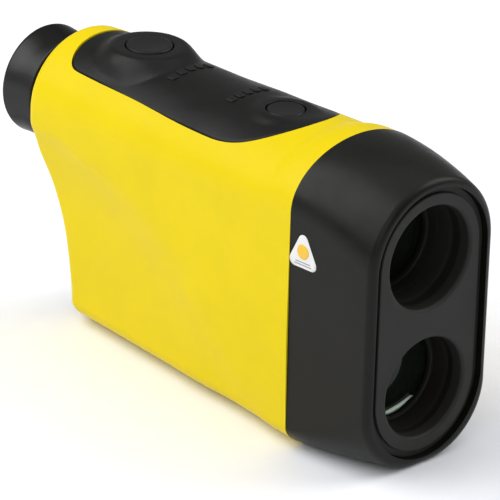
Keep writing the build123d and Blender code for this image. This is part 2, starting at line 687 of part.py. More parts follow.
def make_roof_prism():
    lower = prism_block([(6.0, -8.6), (-1.5, 8.6), (PRISM_BACK, 8.6), (PRISM_BACK, -8.6)])
    ridge = [(-9.5, 20.0), (-9.5, 3.0), (-4.5, 8.6), (4.5, 8.6), (9.5, 3.0), (9.5, 20.0)]
    roof = make_face(Polyline(*[(x, -20, OPTIC_Z + z) for x, z in ridge], close=True))
    return lower - extrude(roof, 50, dir=(0, 1, 0))


def make_prism_housing():
    shell = block(-10.4, 10.4, PRISM_FRONT - 1.6, PRISM_BACK + 1.6, 36.6, OPTIC_Z + 10.6)
    half = PRISM_HALF + 0.1
    shell -= block(-half, half, PRISM_FRONT - 0.1, PRISM_BACK + 0.1, OPTIC_Z - 8.7, OPTIC_Z + 8.7)
    shell -= disc_y(7.8, -30, 30, OPTIC_Z)
    shell -= post(LASER_R + 0.05, 30, OPTIC_Z - 5, 0, LASER_Y)
    return shell


def make_laser_module():
    tube = post(LASER_R, 27.0, OPTIC_Z - 9.4, 0, LASER_Y)
    return tube + post(4.4, 31.6, 34.5, 0, LASER_Y)


def make_reticle_frame():
    frame = block(-10, 10, 13.7, 19.5, 36.8, EYE_Z + 9.5)
    frame -= block(-8.2, 8.2, 15.5, 17.7, EYE_Z - 7.2, EYE_Z + 7.2)
    return frame - disc_y(6.2, 10, 25, EYE_Z)


def make_reticle_display():
    return block(-8.1, 8.1, 15.6, 17.6, EYE_Z - 7.1, EYE_Z + 7.1)


# ---------------------------------------------------------------- eyepiece
TUBE_R = 11.2
COLLAR_R = 12.5
COLLAR_BACK = 52.2
CELL_R = 10.0
CELL_FRONT = 30.0
CELL_BACK = 51.0
RING_FRONT = 52.4
RING_BACK = 57.8
RING_IN = 11.3
NECK_R = 12.1           # bare neck of the ring, between the housing and the eyecup
SLEEVE_R = 11.85        # part of the ring that the eyecup is stretched over
CUP_FRONT = 55.2
CUP_WAIST_R = 12.95
CUP_RIM_R = 13.2
CUP_BORE_R = 9.6


def make_eyepiece_tube():
    bore = CELL_R + 0.06
    profile = [(bore, 21.0), (bore, 57.0), (TUBE_R, 57.0), (TUBE_R, COLLAR_BACK), (COLLAR_R, COLLAR_BACK),
               (COLLAR_R, 46.0), (TUBE_R, 46.0), (TUBE_R, 19.6), (8.6, 19.6), (8.6, 21.0)]
    return turned_y(profile, EYE_Z)


def make_eyepiece_cell():
    profile = [(8.0, CELL_FRONT), (8.0, CELL_FRONT + 1.2), (9.1, CELL_FRONT + 1.2), (9.1, 37.0),
               (8.3, 37.0), (8.3, 44.4), (9.1, 44.4), (9.1, CELL_BACK - 0.8), (8.4, CELL_BACK - 0.8),
               (8.4, CELL_BACK), (CELL_R, CELL_BACK), (CELL_R, CELL_FRONT)]
    return turned_y(profile, EYE_Z)


def make_field_lens():
    return lens(9.05, 32.6, 2.6, 1.2, 1.6, EYE_Z)


def make_eye_lens():
    return lens(9.05, 46.2, 2.6, 1.5, 1.2, EYE_Z)


def make_diopter_ring():
    profile = [(RING_IN, RING_FRONT), (NECK_R - 0.3, RING_FRONT), (NECK_R, RING_FRONT + 0.3),
               (NECK_R, CUP_FRONT), (SLEEVE_R, CUP_FRONT), (SLEEVE_R, RING_BACK), (RING_IN, RING_BACK)]
    return turned_y(profile, EYE_Z)


def make_eyecup():
    """Soft drum with a slight waist, over the ring's sleeve, and a hollow that flares to the rim."""
    lip = 0.45
    edge = CUP_RIM_R - lip
    corner = 0.6
    waist = (CUP_WAIST_R, (CUP_FRONT + RIM_Y) / 2)
    front = ThreePointArc((CUP_RIM_R - 0.1 - corner, CUP_FRONT),
                          (CUP_RIM_R - 0.1 - corner * 0.293, CUP_FRONT + corner * 0.293),
                          (CUP_RIM_R - 0.1, CUP_FRONT + corner))
    outer = Spline(front @ 1, waist, (CUP_RIM_R, RIM_Y - lip), tangents=((0, 1), (0, 1)))
    rim = ThreePointArc((CUP_RIM_R, RIM_Y - lip), (edge, RIM_Y), (edge - lip, RIM_Y - lip))
    bore = Spline((edge - lip, RIM_Y - lip), (11.5, 63.2), (10.5, 60.5), (CUP_BORE_R, RING_BACK + 0.8))
    base = Polyline((CUP_BORE_R, RING_BACK + 0.8), (CUP_BORE_R, RING_BACK), (SLEEVE_R, RING_BACK),
                    (SLEEVE_R, CUP_FRONT), front @ 0)
    return Pos(0, 0, EYE_Z) * revolve(make_face([front, outer, rim, bore, base]), Axis.Y)


# ---------------------------------------------------------------- electronics
def make_main_board():
    board = block(BOARD_X, BOARD_X + MAIN_BOARD_THICK, -29, 13, 9.4, 34)
    for y, z in BOARD_BOSSES:
        board -= rod_x(1.1, 5, 20, y, z)
    return board


def make_board_chips():
    """Processor, memory, coils and the display connector on the main board's inner face."""
    processor = block(BOARD_X - 1.4, BOARD_X, -4, 6, 12, 22)
    memory = block(BOARD_X - 1.2, BOARD_X, -4, 4, 25, 30)
    connector = block(BOARD_X - 1.0, BOARD_X, 8, 12, 13, 19)
    return Compound(children=[processor, memory, connector])


def make_main_board_screws():
    base = Rot(0, -90, 0) * small_screw(0.75, 1.6, 3.8, 0.8)
    return Compound(children=[Pos(BOARD_X, y, z) * base for y, z in BOARD_BOSSES])


# ---------------------------------------------------------------- write every piece
PIECES = {
    "main_housing": make_main_housing,
    "nose_cover": make_nose_cover,
    "lens_faceplate": make_lens_faceplate,
    "top_cover": make_top_cover,
    "measure_button": make_measure_button,
    "mode_button": make_mode_button,
    "measure_switch": lambda: tact_switch(MEASURE_Y, 1.5, 65.6),
    "mode_switch": lambda: tact_switch(MODE_Y, 1.0, 64.85),
    "switch_board": make_switch_board,
    "switch_board_screws": make_board_screws,
    "telescope_frame": make_telescope_frame,
    "frame_screws": make_frame_screws,
    "nose_screws": make_nose_screws,
    "laser_label": make_laser_label,
    "objective_barrel": make_objective_barrel,
    "objective_retainer": make_objective_retainer,
    "objective_crown_lens": make_objective_crown,
    "objective_flint_lens": make_objective_flint,
    "receiver_barrel": make_receiver_barrel,
    "receiver_retainer": make_receiver_retainer,
    "receiver_lens": make_receiver_lens,
    "photodiode": make_photodiode,
    "receiver_board": make_receiver_board,
    "receiver_shield": make_receiver_shield,
    "beam_splitter_prism": make_beam_splitter_prism,
    "roof_prism": make_roof_prism,
    "prism_housing": make_prism_housing,
    "laser_module": make_laser_module,
    "reticle_frame": make_reticle_frame,
    "reticle_display": make_reticle_display,
    "eyepiece_tube": make_eyepiece_tube,
    "eyepiece_cell": make_eyepiece_cell,
    "field_lens": make_field_lens,
    "eye_lens": make_eye_lens,
    "diopter_ring": make_diopter_ring,
    "eyecup": make_eyecup,
    "main_board": make_main_board,
    "board_chips": make_board_chips,
    "main_board_screws": make_main_board_screws,
    "battery": make_battery,
    "battery_holder": make_battery_holder,
    "battery_spring": make_battery_spring,
    "battery_door": make_battery_door,
    "door_contact": make_door_contact,
    "hinge_pin": make_hinge_pin,
    "display_window": make_display_window,
    "display_panel": make_display_panel,
    "display_tray": make_display_tray,
}

os.makedirs("parts", exist_ok=True)
for node, make in PIECES.items():
    export_step(make(), "parts/" + node + ".step")
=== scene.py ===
import json
import math

import bmesh
import bpy
from mathutils import Matrix, Vector, bvhtree, geometry


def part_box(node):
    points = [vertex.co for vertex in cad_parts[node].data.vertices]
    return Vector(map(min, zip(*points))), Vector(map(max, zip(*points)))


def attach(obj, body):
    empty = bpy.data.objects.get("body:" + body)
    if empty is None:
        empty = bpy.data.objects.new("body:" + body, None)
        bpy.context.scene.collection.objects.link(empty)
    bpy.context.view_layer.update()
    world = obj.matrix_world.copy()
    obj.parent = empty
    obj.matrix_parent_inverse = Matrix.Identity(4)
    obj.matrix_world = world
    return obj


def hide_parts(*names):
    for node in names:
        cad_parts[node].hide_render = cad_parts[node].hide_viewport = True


MM = 0.001
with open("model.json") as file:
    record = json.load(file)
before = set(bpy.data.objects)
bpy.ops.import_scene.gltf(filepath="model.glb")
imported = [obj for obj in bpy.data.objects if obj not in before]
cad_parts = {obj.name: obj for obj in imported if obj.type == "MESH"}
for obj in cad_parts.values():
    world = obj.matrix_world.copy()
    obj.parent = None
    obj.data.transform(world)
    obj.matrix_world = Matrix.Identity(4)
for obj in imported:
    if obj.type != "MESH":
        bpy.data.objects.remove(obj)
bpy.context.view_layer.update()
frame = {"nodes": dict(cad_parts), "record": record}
NODES = frame["nodes"]
SCENE = bpy.context.scene
for imported in list(bpy.data.materials):
    bpy.data.materials.remove(imported)


# ---------------------------------------------------------------- materials
def new_material(name, base, rough, metallic=0.0, **sockets):
    """Principled material with the given even values; detail is added by the functions below."""
    m = bpy.data.materials.new(name)
    m.use_nodes = True
    shader = m.node_tree.nodes["Principled BSDF"]
    shader.inputs["Base Color"].default_value = (*base, 1.0)
    shader.inputs["Roughness"].default_value = rough
    shader.inputs["Metallic"].default_value = metallic
    for socket, value in sockets.items():
        shader.inputs[socket.replace("_", " ")].default_value = value
    return m


def coords(tree, scale=(1, 1, 1)):
    """Object coordinates in the shared frame, stretched by scale."""
    place = tree.nodes.new("ShaderNodeTexCoord")
    stretch = tree.nodes.new("ShaderNodeMapping")
    stretch.inputs["Scale"].default_value = scale
    tree.links.new(place.outputs["Object"], stretch.inputs["Vector"])
    return stretch.outputs["Vector"]


def noise(tree, size, detail=2.0, scale=(1, 1, 1)):
    """Noise whose features are about size metres across."""
    n = tree.nodes.new("ShaderNodeTexNoise")
    n.inputs["Scale"].default_value = 1.0 / size
    n.inputs["Detail"].default_value = detail
    tree.links.new(coords(tree, scale), n.inputs["Vector"])
    return n.outputs["Fac"]


def cells(tree, size):
    """Distance to the nearest point of a random cell pattern with cells about size metres across."""
    v = tree.nodes.new("ShaderNodeTexVoronoi")
    v.inputs["Scale"].default_value = 1.0 / size
    tree.links.new(coords(tree), v.inputs["Vector"])
    return v.outputs["Distance"]


def ramp(tree, fac, low, high, start=0.3, end=0.7):
    """Maps a 0 to 1 signal to the range low to high, or between two colours."""
    r = tree.nodes.new("ShaderNodeValToRGB")
    r.color_ramp.elements[0].position = start
    r.color_ramp.elements[1].position = end
    for element, value in zip(r.color_ramp.elements, (low, high)):
        element.color = (*value, 1.0) if isinstance(value, tuple) else (value, value, value, 1.0)
    tree.links.new(fac, r.inputs["Fac"])
    return r.outputs["Color"]


def bump(m, height, depth, under=None):
    """Adds a bump of the given depth in metres; returns its normal."""
    tree = m.node_tree
    b = tree.nodes.new("ShaderNodeBump")
    b.inputs["Strength"].default_value = 1.0
    b.inputs["Distance"].default_value = depth
    tree.links.new(height, b.inputs["Height"])
    if under is not None:
        tree.links.new(under, b.inputs["Normal"])
    return b.outputs["Normal"]


def finish_with(m, colour=None, rough=None, normal=None):
    """Links the procedural signals to the shader and returns the material."""
    shader = m.node_tree.nodes["Principled BSDF"]
    for socket, source in (("Base Color", colour), ("Roughness", rough), ("Normal", normal)):
        if source is not None:
            m.node_tree.links.new(source, shader.inputs[socket])
    return m


def moulded(name, base, rough, grain, depth, vary, **sockets):
    """Moulded plastic or rubber: grain of the given size and depth in metres, faint mottling, uneven sheen."""
    m = new_material(name, base, rough, **sockets)
    t = m.node_tree
    dark = tuple(c * (1 - vary) for c in base)
    light = tuple(min(1.0, c * (1 + vary)) for c in base)
    colour = ramp(t, noise(t, 0.012, 4.0), dark, light)
    sheen = ramp(t, noise(t, 0.006, 3.0), rough - 0.05, rough + 0.06)
    fine = bump(m, noise(t, grain, 2.0), depth)
    return finish_with(m, colour, sheen, bump(m, cells(t, grain * 2.2), depth * 0.8, under=fine))


CALM_FROM, CALM_TO = 0.26, 0.62         # facing values between which rubber loses its gloss


def calm_rim(m, level, rim):
    """Lets the gloss fade where the surface turns away, as on matt rubber."""
    t = m.node_tree
    weight = t.nodes.new("ShaderNodeLayerWeight")
    weight.inputs["Blend"].default_value = 0.5
    fade = t.nodes.new("ShaderNodeMapRange")
    for socket, value in (("From Min", CALM_FROM), ("From Max", CALM_TO), ("To Min", level), ("To Max", rim)):
        fade.inputs[socket].default_value = value
    t.links.new(weight.outputs["Facing"], fade.inputs["Value"])
    t.links.new(fade.outputs["Result"], t.nodes["Principled BSDF"].inputs["Specular IOR Level"])


def metal(name, base, rough, stretch=(1, 1, 1), depth=0.000004, **sockets):
    """Machined metal with fine tool marks along one direction."""
    m = new_material(name, base, rough, metallic=1.0, **sockets)
    t = m.node_tree
    marks = noise(t, 0.0005, 4.0, stretch)
    colour = ramp(t, noise(t, 0.004, 3.0), tuple(c * 0.9 for c in base), base)
    return finish_with(m, colour, ramp(t, marks, rough - 0.06, rough + 0.08), bump(m, marks, depth))


def glass(name, tint, rough, coat=0.5):
    """Coated optical glass: a thin dark body with a clear polished face and faint uneven depth."""
    m = new_material(name, tint, rough, Transmission_Weight=0.25, IOR=1.5, Specular_IOR_Level=coat,
                     Coat_Weight=coat, Coat_Roughness=0.03)
    t = m.node_tree
    colour = ramp(t, noise(t, 0.003, 2.0), tuple(c * 0.85 for c in tint), tint)
    polish = ramp(t, noise(t, 0.0008, 3.0), rough, rough + 0.03)
    return finish_with(m, colour, polish, bump(m, noise(t, 0.004, 2.0), 0.000002))


YELLOW = moulded("body_yellow", (0.712, 0.550, 0.0011), 0.43, 0.00016, 0.000010, 0.02, Specular_IOR_Level=0.12)
NOSE = moulded("nose_black", (0.0046, 0.0046, 0.0031), 0.36, 0.00018, 0.000012, 0.1, Specular_IOR_Level=0.19)
PANEL = moulded("panel_black", (0.0048, 0.0048, 0.0044), 0.36, 0.00018, 0.000014, 0.1, Specular_IOR_Level=0.19)
PLATE = moulded("plate_grey", (0.0190, 0.0185, 0.0170), 0.5, 0.00014, 0.000012, 0.1, Specular_IOR_Level=0.18)
KEY = moulded("key_black", (0.0075, 0.0075, 0.0075), 0.38, 0.00014, 0.000008, 0.08, Specular_IOR_Level=0.2)
RUBBER = moulded("rubber_black", (0.0040, 0.0040, 0.0036), 0.34, 0.00020, 0.000014, 0.12)
calm_rim(RUBBER, 0.34, 0.04)
RING = moulded("ring_black", (0.006, 0.006, 0.006), 0.3, 0.00014, 0.000008, 0.1, Specular_IOR_Level=0.4)
HOLDER = moulded("holder_black", (0.0130, 0.0118, 0.0100), 0.62, 0.00016, 0.000012, 0.1, Specular_IOR_Level=0.12)
BARREL = moulded("barrel_black", (0.0150, 0.0150, 0.0130), 0.5, 0.00012, 0.000006, 0.1, Specular_IOR_Level=0.2)
ALLOY = metal("frame_alloy", (0.60, 0.61, 0.63), 0.42)
STEEL = metal("screw_steel", (0.62, 0.62, 0.63), 0.28, (1, 1, 6))
SPRING = metal("spring_steel", (0.72, 0.72, 0.71), 0.25)
SHIELD = metal("shield_steel", (0.70, 0.70, 0.71), 0.32)
BRASS = metal("contact_brass", (0.86, 0.66, 0.32), 0.28)
LASER = metal("laser_brass", (0.72, 0.55, 0.27), 0.32)
LABEL = moulded("label_white", (0.72, 0.72, 0.71), 0.35, 0.00020, 0.000004, 0.02)
LABEL_MARK = moulded("label_amber", (0.80, 0.48, 0.02), 0.35, 0.00020, 0.000004, 0.03)
LABEL_BAR = moulded("label_grey", (0.30, 0.30, 0.31), 0.38, 0.00020, 0.000004, 0.03)
BOARD = moulded("board_green", (0.015, 0.12, 0.05), 0.35, 0.0006, 0.00001, 0.10)
CHIP = moulded("switch_black", (0.02, 0.02, 0.021), 0.42, 0.00014, 0.000006, 0.10)
WRAP = moulded("battery_wrap", (0.07, 0.09, 0.26), 0.30, 0.0008, 0.000004, 0.10)
DOOR = moulded("door_black", (0.0048, 0.0048, 0.0032), 0.36, 0.00018, 0.000012, 0.1, Specular_IOR_Level=0.2)
LCD = moulded("lcd_grey", (0.33, 0.38, 0.33), 0.35, 0.00020, 0.000002, 0.03)
LENS_COATED = glass("lens_coated", (0.011, 0.014, 0.010), 0.05, 0.15)
LENS_CLEAR = glass("lens_clear", (0.70, 0.74, 0.73), 0.05)
LENS_RECEIVER = glass("lens_receiver", (0.011, 0.014, 0.011), 0.05, 0.10)
# pale mint colour of the painted highlight on the receiver lens's polished edge
LENS_EDGE_HIGHLIGHT = moulded("lens_edge_highlight", (0.80, 0.98, 0.80), 0.35, 0.0004, 0.000004, 0.05, Specular_IOR_Level=0.3)
PRISM = glass("prism_glass", (0.80, 0.86, 0.84), 0.05)
WINDOW = glass("display_glass", (0.03, 0.032, 0.034), 0.08)

SLOT_MATERIALS = {m.name: m for m in (
    YELLOW, NOSE, PANEL, PLATE, KEY, RUBBER, RING, HOLDER, BARREL, ALLOY, STEEL, SPRING, SHIELD,
    BRASS, LASER, LABEL, BOARD, CHIP, WRAP, DOOR, LCD, LENS_COATED, LENS_CLEAR, LENS_RECEIVER,
    PRISM, WINDOW)}

for entry in frame["record"]["subparts"]:
    node = NODES[entry["node"]]
    node.data.materials.clear()
    node.data.materials.append(SLOT_MATERIALS[entry["material_slot"]])


# ---------------------------------------------------------------- mesh helpers, in millimetres
CORNER_STEPS = 5            # straight pieces in each rounded profile corner


def add_piece(name, verts, faces, material, body, replaces=()):
    """Mesh piece from millimetre points, smooth-shaded, riding on a CAD body."""
    mesh = bpy.data.meshes.new(name)
    mesh.from_pydata([tuple(c * MM for c in v) for v in verts], [], faces)
    bm = bmesh.new()
    bm.from_mesh(mesh)
    bmesh.ops.remove_doubles(bm, verts=bm.verts, dist=1e-7)
    bmesh.ops.recalc_face_normals(bm, faces=bm.faces)
    for face in bm.faces:
        face.smooth = True
    bm.to_mesh(mesh)
    bm.free()
    mesh.materials.append(material)
    piece = bpy.data.objects.new(name, mesh)
    SCENE.collection.objects.link(piece)
    normals = piece.modifiers.new("normals", "WEIGHTED_NORMAL")
    normals.keep_sharp = True
    normals.weight = 80
    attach(piece, body)
    if replaces:
        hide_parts(*replaces)
    return piece


def rounded(points):
    """Profile with arcs at its corners: points are (r, a) or (r, a, corner radius)."""
    path = []
    count = len(points)
    for i, point in enumerate(points):
        if len(point) == 2:
            path.append(point)
            continue
        here = Vector(point[:2])
        before = Vector(points[i - 1][:2]) - here
        after = Vector(points[(i + 1) % count][:2]) - here
        reach = min(point[2], before.length * 0.49, after.length * 0.49)
        start, end = here + before.normalized() * reach, here + after.normalized() * reach
        for k in range(CORNER_STEPS + 1):
            t = k / CORNER_STEPS
            path.append(tuple(start.lerp(here, t).lerp(here.lerp(end, t), t)))
    return path


def lathe(name, points, centre, axis, material, body, replaces=(), steps=128):
    """Closed ring or cap turned round the Y or Z axis through centre, from (radius, place) corners."""
    path = rounded(points)
    verts, faces = [], []
    for i in range(steps):
        c, s = math.cos(2 * math.pi * i / steps), math.sin(2 * math.pi * i / steps)
        for r, a in path:
            if axis == "Y":
                verts.append((centre[0] + r * c, a, centre[2] + r * s))
            else:
                verts.append((centre[0] + r * c, centre[1] + r * s, a))
    n = len(path)
    for i in range(steps):
        here, there = i * n, (i + 1) % steps * n
        for k in range(n):
            faces.append((here + k, here + (k + 1) % n, there + (k + 1) % n, there + k))
    return add_piece(name, verts, faces, material, body, replaces)


def node_box(node):
    """Lowest and highest corner of a CAD node in millimetres, and its middle."""
    low, high = (Vector(c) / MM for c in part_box(node))
    return low, high, (low + high) / 2


def smooth(t):
    """Eased step from 0 to 1 as t goes from 0 to 1."""
    t = min(1.0, max(0.0, t))
    return t * t * (3 - 2 * t)


def smoother(t):
    """Like smooth, with no break in its curvature."""
    t = min(1.0, max(0.0, t))
    return t * t * t * (t * (6 * t - 15) + 10)


# ---------------------------------------------------------------- top panel
SEAM_Y, TAIL_Y = -40.5, 52.0            # the housing's front and rear end
CROWN = [(-40.5, 71.3), (-36.5, 71.2), (-30.5, 69.9), (-8.0, 69.4), (10.0, 68.9), (34.0, 68.8),
         (52.0, 67.8)]                  # y and height of the roof's ridge
SEAM_HALF, HALF_TAPER = 20.0, 3.1       # half width at the seam, and how much of it is lost by the tail
SEAM_ARCH, ARCH_GAIN = 13.6, 2.8        # how far the roof falls to its sides at the seam, and its gain
COVER_THICK = 1.6
EDGE_R = 0.30                           # rounding of the panel's edge and of the holes' rims
HOLE_GAP = 0.25                         # between a key and its hole
EDGE_GAP = 0.12                         # between the panel and the housing round it
KEY_RADIUS = {"measure_button": 5.4, "mode_button": 4.35}
# top height, flat radius and foot radius of the swelling under each key
MOUNDS = {"measure_button": (70.2, 8.0, 12.9), "mode_button": (69.55, 5.2, 8.8)}
EDGE_FADE = 2.8                         # a swelling fades out over this width at the panel's edge
REACH = {"measure_button": 14.4, "mode_button": 9.6}   # how far the fine rings reach round each key
NEAR = [0.0, 0.03, 0.09, 0.18, 0.30, 0.55, 0.95, 1.5, 2.2]   # distances of the rings along each rim
OUTLINE_STEP = 0.45
RING_STEP = 0.6
MIN_RING = 96                           # fewest points in a ring round a key
GRID = 0.9
GRID_X, GRID_Y = (-20, 21), (-40, 61)   # grid range that covers the panel, in steps
CLEAR = NEAR[-1] + 0.4                  # rings and grid stay this far from the panel's edge


def roof(x, y):
    """Height of the housing's rounded roof."""
    crown = CROWN[-1][1]
    for (y0, z0), (y1, z1) in zip(CROWN, CROWN[1:]):
        if y <= y1:
            crown = z0 + (z1 - z0) * smooth((y - y0) / (y1 - y0))
            break
    along = (y - SEAM_Y) / (TAIL_Y - SEAM_Y)
    half = SEAM_HALF - HALF_TAPER * along
    arch = SEAM_ARCH + ARCH_GAIN * smooth(along)
    return crown - arch * (1 - math.sqrt(1 - min(1.0, (x / half) ** 2)))


def rim_drop(distance):
    """How far a rounded edge falls at a distance from its rim."""
    inside = min(EDGE_R, max(0.0, EDGE_R - distance))
    return EDGE_R - math.sqrt(EDGE_R ** 2 - inside ** 2)


def panel_outline():
    """Outline of the CAD cover seen from above, anticlockwise, with even steps."""
    flat = [Vector((v.co.x / MM, v.co.y / MM)) for v in NODES["top_cover"].data.vertices]
    hull = [flat[i] for i in geometry.convex_hull_2d(flat)]
    points = []
    for here, there in zip(hull, hull[1:] + hull[:1]):
        pieces = max(1, round((there - here).length / OUTLINE_STEP))
        points += [here.lerp(there, k / pieces) for k in range(pieces)]
    area = sum(p.x * q.y - q.x * p.y for p, q in zip(points, points[1:] + points[:1]))
    points = points if area > 0 else points[::-1]
    kept = points[:1]
    for p in points[1:]:
        if (p - kept[-1]).length > OUTLINE_STEP * 0.6:
            kept.append(p)
    return kept


def inset_loop(points, distance):
    """Loop moved inwards by a distance, point by point."""
    loop = []
    count = len(points)
    for i, p in enumerate(points):
        along = (points[(i + 1) % count] - points[i - 1]).normalized()
        loop.append(p + Vector((-along.y, along.x)) * distance)
    return loop


def point_inside(p, outline):
    inside = False
    for a, b in zip(outline, outline[1:] + outline[:1]):
        if (a.y > p.y) != (b.y > p.y) and p.x < a.x + (p.y - a.y) / (b.y - a.y) * (b.x - a.x):
            inside = not inside
    return inside


def edge_distance(p, outline):
    best = math.inf
    for a, b in zip(outline, outline[1:] + outline[:1]):
        t = min(1.0, max(0.0, (p - a).dot(b - a) / (b - a).length_squared))
        best = min(best, (p - a.lerp(b, t)).length)
    return best


def panel_height(p, edge, holes):
    """Height of the panel's face at a point and its distance from the panel's edge."""
    low = roof(p.x, p.y)
    z = low
    for (centre, _), (top_z, flat, foot) in zip(holes, MOUNDS.values()):
        share = smooth((foot - (p - centre).length) / (foot - flat))
        z += (top_z - low) * share * smoother(edge / EDGE_FADE)
    for centre, hole in holes:
        z -= rim_drop((p - centre).length - hole)
    return z - rim_drop(edge)


def ring_points(centre, r):
    count = max(MIN_RING, int(2 * math.pi * r / RING_STEP))
    angles = [2 * math.pi * k / count for k in range(count)]
    return [centre + Vector((math.cos(angle), math.sin(angle))) * r for angle in angles]


def panel_points(outline, holes):
    """Points seen from above with their distances from the edge, and the edges the mesh has to keep."""
    flat, edges, dist = [], [], []

    def add_points(points, constrain=False, edge=None):
        start = len(flat)
        flat.extend(points)
        dist.extend(edge_distance(p, outline) if edge is None else edge for p in points)
        if constrain:
            edges.extend((start + i, start + (i + 1) % len(points)) for i in range(len(points)))

    def usable(p):
        return point_inside(p, outline) and edge_distance(p, outline) > CLEAR

    for d in NEAR:
        add_points(inset_loop(outline, d), d == 0.0, d)
    for (centre, hole), reach in zip(holes, REACH.values()):
        radii = [hole + d for d in NEAR]
        while radii[-1] < reach:
            radii.append(radii[-1] + RING_STEP)
        for r in radii:
            ring = ring_points(centre, r)
            if r - hole >= NEAR[-1] + 0.1:
                ring = [p for p in ring if usable(p)]
            add_points(ring, r == hole)
    for i in range(*GRID_X):
        for j in range(*GRID_Y):
            p = Vector((i * GRID, j * GRID))
            clear = all((p - centre).length > reach + 0.7 for (centre, _), reach in zip(holes, REACH.values()))
            if clear and usable(p):
                add_points([p])
    return flat, edges, dist


def open_edges(faces):
    """Edges that belong to one face only, in the order of the faces."""
    lone = {}
    for face in faces:
        for a, b in zip(face, face[1:] + face[:1]):
            lone[(a, b)] = (b, a) not in lone
            if (b, a) in lone:
                lone[(b, a)] = False
    return [edge for edge, is_lone in lone.items() if is_lone]


def make_top_panel():
    """Black top cover with a swelling round each key's hole."""
    outline = inset_loop(panel_outline(), EDGE_GAP)
    holes = []
    for node, r in KEY_RADIUS.items():
        middle = node_box(node)[2]
        holes.append((Vector((middle.x, middle.y)), r + HOLE_GAP))
    flat, edges, dist = panel_points(outline, holes)
    points, _, triangles, origin, _, _ = geometry.delaunay_2d_cdt(flat, edges, [], 0, 1e-5)
    top = []
    for p, source in zip(points, origin):
        edge = dist[source[0]] if source else edge_distance(p, outline)
        top.append((p.x, p.y, panel_height(p, edge, holes)))
    faces = []
    for tri in triangles:
        middle = sum((points[i] for i in tri), Vector((0, 0))) / 3
        in_hole = any((middle - centre).length < hole - 0.005 for centre, hole in holes)
        if point_inside(middle, outline) and not in_hole:
            faces.append(tuple(tri))
    count = len(top)
    walls = [(b, a, a + count, b + count) for a, b in open_edges(faces)]
    under = [tuple(i + count for i in reversed(face)) for face in faces]
    verts = top + [(x, y, z - COVER_THICK) for x, y, z in top]
    add_piece("top_panel", verts, faces + under + walls, PANEL, "casing", ["top_cover"])


DASH_ROWS = [(14.6, 2.7), (-4.5, 2.45)]   # y and pitch of each row of raised dashes
DASH_HALF = (0.95, 1.25)
DASH_LOOPS = [(0.0, -0.2), (0.0, 0.18), (0.05, 0.25), (0.15, 0.29), (0.30, 0.30)]   # inset, height
DASH_STEPS = 24


def dash_loop(x0, y0, inset, lift):
    """Squarish loop round a dash's centre, lifted off the roof."""
    loop = []
    for k in range(DASH_STEPS):
        angle = 2 * math.pi * k / DASH_STEPS
        c, s = math.cos(angle), math.sin(angle)
        x = x0 + (DASH_HALF[0] - inset) * math.copysign(abs(c) ** 0.5, c)
        y = y0 + (DASH_HALF[1] - inset) * math.copysign(abs(s) ** 0.5, s)
        loop.append((x, y, roof(x, y) + lift))
    return loop


def make_dashes():
    """Rows of five blank raised bars in front of the buttons, following the roof."""
    verts, faces = [], []
    n = DASH_STEPS
    for row_y, pitch in DASH_ROWS:
        for i in range(-2, 3):
            start = len(verts)
            for inset, lift in DASH_LOOPS:
                verts += dash_loop(pitch * i, row_y, inset, lift)
            last = start + (len(DASH_LOOPS) - 1) * n
            for low in range(start, last, n):
                for k in range(n):
                    a, b = low + k, low + (k + 1) % n
                    faces.append((a, b, b + n, a + n))
            faces.append(tuple(last + k for k in range(n)))
            faces.append(tuple(start + n - 1 - k for k in range(n)))
    add_piece("panel_dashes", verts, faces, KEY, "casing")


# ---------------------------------------------------------------- keys
KEY_DISH = 0.22                         # how far a key's middle lies below its rim
KEY_EDGE = 0.55                         # width of a key's rounded edge


def make_key(node, body):
    """Round key with a softly rounded edge and a shallow dish."""
    low, high, middle = node_box(node)
    r, top = KEY_RADIUS[node], high.z
    dish = [(r * t, top - KEY_DISH * (1 - t * t)) for t in (0.0, 0.2, 0.4, 0.6, 0.75)]
    edge = [(r - KEY_EDGE, top - 0.03), (r - KEY_EDGE * 0.62, top - 0.04), (r - KEY_EDGE * 0.29, top - 0.16),
            (r - KEY_EDGE * 0.08, top - 0.34), (r, top - 0.6)]
    skirt = [(r, top - 3.0), (0.0, top - 3.0)]
    lathe(node + "_cap", dish + edge + skirt, middle, "Z", KEY, body, [node])


# ---------------------------------------------------------------- eyepiece
CUP_BORE = 9.6               # radius of the hole the eye looks through
CUP_SOCKET = 11.9            # radius of the socket that takes the diopter ring's sleeve
CUP_FLARE = [(11.6, 1.9), (11.1, 3.1), (10.5, 4.6), (9.9, 6.0)]   # radius and depth of the cup's hollow
NECK_BORE, SLEEVE_R = 11.3, 11.85
NECK_LONG = 2.9
NECK_GROOVE = 0.15
EYE_STEPS = 160


def make_eyecup():
    """Rubber drum with a slight waist, a rolled rim and a flared hollow."""
    low, high, middle = node_box("eyecup")
    r, front, rim = (high.x - low.x) / 2, low.y, high.y
    sleeve = node_box("diopter_ring")[1].y
    outside = [(CUP_SOCKET, front), (r - 0.1, front, 0.7), (r - 0.22, front + 3.4), (r - 0.25, front + 5.2),
               (r - 0.16, front + 7.4), (r - 0.04, rim - 0.9)]
    roll = [(r, rim - 0.45), (r - 0.13, rim - 0.13), (r - 0.45, rim), (r - 0.77, rim - 0.13),
            (r - 0.95, rim - 0.5)]
    hollow = [(flare, rim - depth) for flare, depth in CUP_FLARE] + [(CUP_BORE, rim - 6.8, 0.3)]
    socket = [(CUP_BORE, sleeve + 0.1, 0.1), (CUP_SOCKET, sleeve + 0.1)]
    points = outside + roll + hollow + socket
    lathe("eyecup_rubber", points, middle, "Y", RUBBER, "diopter", ["eyecup"], steps=EYE_STEPS)


